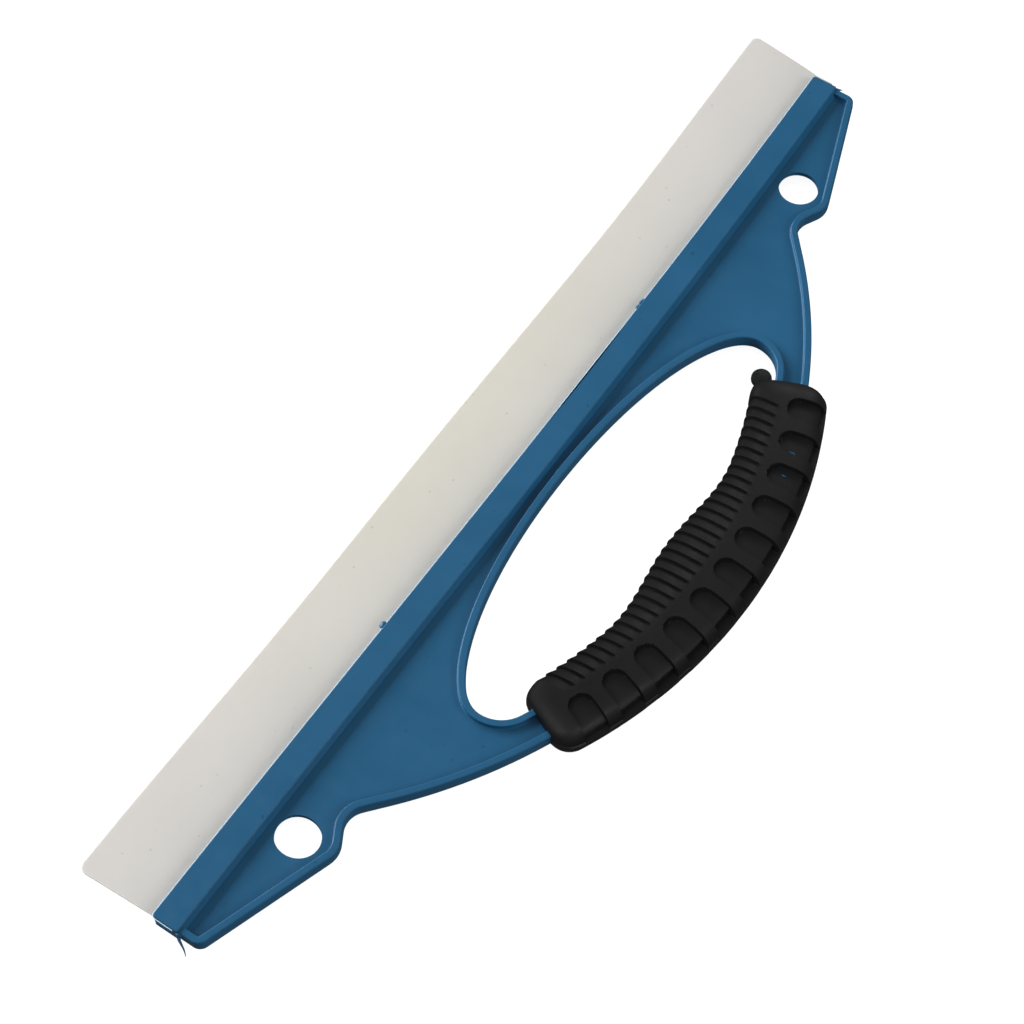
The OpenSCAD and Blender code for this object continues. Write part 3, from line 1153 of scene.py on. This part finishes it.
# ---------------------------------------------------------------------------
# Studio: places and sizes are metres, powers are watts
# ---------------------------------------------------------------------------

FLOOR_R = 4.0
FLOOR_SIDES = 96
WORLD_ABOVE = 0.30
WORLD_BELOW = 0.1
WORLD_FADE = 0.1

# Each softbox aimed at the object: name, azimuth and elevation in degrees, width and
# height, power, and the group of pieces that it lights
SOFTBOX_DISTANCE = 1.5
SOFTBOXES = (
    ("blade_side", 89, 20, (1.6, 0.8), 48, "hull"),
    ("grip_side", -80, 28, (0.8, 0.6), 10, "hull"),
    ("blade_end", 185, 4, (0.8, 0.16), 14, "sheet"),
    ("rubber_back", 95, 20, (1.6, 0.8), 5, "rubber_parts"),
    ("rubber_sheen", -105, 45, (1.0, 0.5), 6, "rubber_parts"),
    ("rubber_end", 160, 45, (0.6, 0.6), 6, "rubber_parts"),
    ("rubber_flats", 12, 32, (0.8, 0.5), 3, "rubber_parts"),
)
FLOOR_LIGHT_HEIGHT = 2.5
FLOOR_LIGHT_SIZE = (3, 3)
FLOOR_LIGHT_POWER = 96

# Place, target and clip in metres, roll in degrees, lens and sensor in millimetres
CAMERA_PLACE = (-0.27358, -0.15592, 0.55531)
CAMERA_TARGET = (-0.01366, 0.01674, 0.007)
CAMERA_ROLL = 0.5035
CAMERA_LENS = 86.075
CAMERA_SENSOR = 36
CAMERA_CLIP = (0.02, 20)


def make_floor():
    """A wide round board under the object, with its top at Z = 0."""
    angles = np.linspace(0, 2 * math.pi, FLOOR_SIDES + 1)[:-1]
    points = [(FLOOR_R * math.cos(a), FLOOR_R * math.sin(a), 0) for a in angles]
    mesh = bpy.data.meshes.new("floor")
    mesh.from_pydata(points, [], [tuple(range(FLOOR_SIDES))])
    floor = bpy.data.objects.new("floor", mesh)
    bpy.context.scene.collection.objects.link(floor)
    floor.data.materials.append(floor_material())
    floor.visible_diffuse = False
    floor.visible_glossy = False
    return floor


def make_world():
    """Even light from above the horizon and a weaker one from below it."""
    world = bpy.data.worlds.new("studio")
    bpy.context.scene.world = world
    world.use_nodes = True
    tree = world.node_tree
    background = tree.nodes["Background"]
    background.inputs["Color"].default_value = (1, 1, 1, 1)
    direction = tree.nodes.new("ShaderNodeTexCoord").outputs["Generated"]
    axes = tree.nodes.new("ShaderNodeSeparateXYZ")
    tree.links.new(direction, axes.inputs["Vector"])
    strength = tree.nodes.new("ShaderNodeMapRange")
    tree.links.new(axes.outputs["Z"], strength.inputs["Value"])
    strength.inputs["From Min"].default_value = -WORLD_FADE
    strength.inputs["From Max"].default_value = 0.0
    strength.inputs["To Min"].default_value = WORLD_BELOW
    strength.inputs["To Max"].default_value = WORLD_ABOVE
    tree.links.new(strength.outputs["Result"], background.inputs["Strength"])


def make_softbox(name, azimuth, elevation, distance, size, power, lit):
    """An area light aimed at the origin that lights only the objects of one collection."""
    data = bpy.data.lights.new(name, "AREA")
    data.shape = "RECTANGLE"
    data.size, data.size_y = size
    data.energy = power
    a, e = math.radians(azimuth), math.radians(elevation)
    way = Vector((math.cos(a) * math.cos(e), math.sin(a) * math.cos(e), math.sin(e)))
    light = bpy.data.objects.new(name, data)
    light.location = way * distance
    light.rotation_euler = way.to_track_quat("Z", "Y").to_euler()
    light.light_linking.receiver_collection = lit
    bpy.context.scene.collection.objects.link(light)
    return light


def make_camera():
    """A long lens above the grip's side, turned slightly about its own axis."""
    place = Vector(CAMERA_PLACE)
    data = bpy.data.cameras.new("camera")
    data.sensor_width = CAMERA_SENSOR
    data.lens = CAMERA_LENS
    data.clip_start, data.clip_end = CAMERA_CLIP
    camera = bpy.data.objects.new("camera", data)
    camera.location = place
    camera.rotation_mode = "QUATERNION"
    aim = (Vector(CAMERA_TARGET) - place).to_track_quat("-Z", "Y")
    roll = Matrix.Rotation(math.radians(CAMERA_ROLL), 4, "Z").to_quaternion()
    camera.rotation_quaternion = aim @ roll
    bpy.context.scene.collection.objects.link(camera)
    bpy.context.scene.camera = camera


def make_group(name, members):
    """A collection that lights can be limited to."""
    group = bpy.data.collections.new(name)
    for member in members:
        group.objects.link(member)
    return group


def make_studio(blue_piece, blade_and_highlight_pieces, rubber_pieces, floor):
    """Softboxes for each group of pieces, and an even light without shadows for the floor."""
    members = {
        "hull": [blue_piece, *blade_and_highlight_pieces],
        "sheet": blade_and_highlight_pieces,
        "rubber_parts": rubber_pieces,
        "ground": [floor],
    }
    groups = {name: make_group(name, pieces) for name, pieces in members.items()}
    make_world()
    for name, azimuth, elevation, size, power, lit in SOFTBOXES:
        make_softbox(name, azimuth, elevation, SOFTBOX_DISTANCE, size, power, groups[lit])
    ground = groups["ground"]
    height, size, power = FLOOR_LIGHT_HEIGHT, FLOOR_LIGHT_SIZE, FLOOR_LIGHT_POWER
    even = make_softbox("floor_light", 90, 90, height, size, power, ground)
    even.data.use_shadow = False
    make_camera()
    bpy.context.scene.view_settings.view_transform = "Standard"


# ---------------------------------------------------------------------------
# Build
# ---------------------------------------------------------------------------

rubber = rubber_material()
blue_frame = make_frame(plastic_material())
# The blade, and the bead that carries a painted highlight along the mouth edge
blade_and_highlight_pieces = [make_blade(silicone_material()), make_painted_highlight_bead(painted_highlight_material())]
rubber_pieces = [make_grip(rubber), make_tab(rubber)]
make_studio(blue_frame, blade_and_highlight_pieces, rubber_pieces, make_floor())
